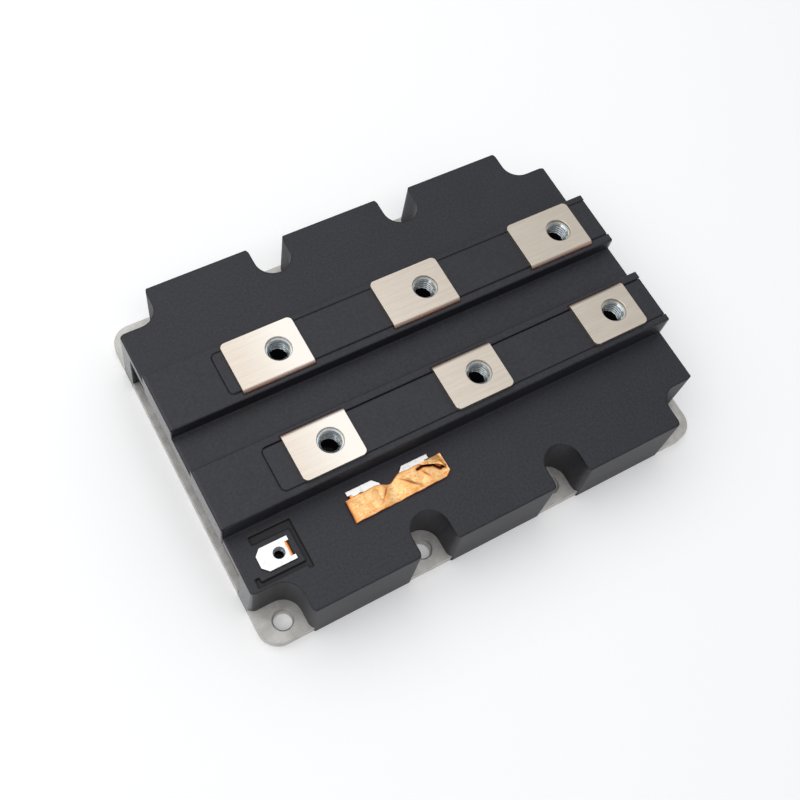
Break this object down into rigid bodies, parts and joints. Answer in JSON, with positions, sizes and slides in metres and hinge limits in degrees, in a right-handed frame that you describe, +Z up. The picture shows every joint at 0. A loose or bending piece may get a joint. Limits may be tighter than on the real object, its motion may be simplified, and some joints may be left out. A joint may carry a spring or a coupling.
{
  "type": "igbt power module",
  "caption": "Flat charcoal power semiconductor module with two raised rows of bolted busbar terminals, small signal terminals bridged by copper foil, and a metal base plate with bolt ears.",
  "frame": {"origin": "centre of the base plate's underside", "axes": "+X along the long side, +Y towards the collector row, +Z up away from the heat sink"},
  "size_m": [0.19, 0.14, 0.038],
  "materials": {
    "plate": "bare machined metal-matrix plate, satin",
    "housing_plastic": "glass-filled moulding, charcoal, matte",
    "bar_plastic": "glass-filled moulding, charcoal, matte",
    "nickel": "nickel plated copper, brushed along the row",
    "zinc": "blue passivated zinc on steel",
    "tin": "bright tin plate on copper",
    "copper_foil": "thin crumpled copper foil",
    "ceramic": "white ceramic with bonded copper faces",
    "silicon": "grey silicon dies",
    "circuit_board": "green solder mask on glass laminate",
    "pin_metal": "plated brass pins",
    "gel": "clear soft silicone gel",
    "screw_steel": "plain steel"
  },
  "bodies": {
    "root": {"base_plate": "plate", "housing": "housing_plastic", "collector_nut_bar": "bar_plastic", "emitter_nut_bar": "bar_plastic", "collector_terminal_1": "nickel", "collector_terminal_2": "nickel", "collector_terminal_3": "nickel", "emitter_terminal_1": "nickel", "emitter_terminal_2": "nickel", "emitter_terminal_3": "nickel", "collector_nut_1": "zinc", "collector_nut_2": "zinc", "collector_nut_3": "zinc", "emitter_nut_1": "zinc", "emitter_nut_2": "zinc", "emitter_nut_3": "zinc", "collector_sense_tab": "tin", "gate_tab": "tin", "emitter_sense_tab": "tin", "collector_sense_nut": "zinc", "gate_nut": "zinc", "emitter_sense_nut": "zinc", "shorting_foil": "copper_foil", "substrate_1": "ceramic", "substrate_2": "ceramic", "substrate_3": "ceramic", "substrate_4": "ceramic", "substrate_5": "ceramic", "substrate_6": "ceramic", "igbt_chips": "silicon", "diode_chips": "silicon", "gate_board": "circuit_board", "board_pins": "pin_metal", "silicone_gel": "gel", "housing_screws": "screw_steel"}
  },
  "joints": []
}
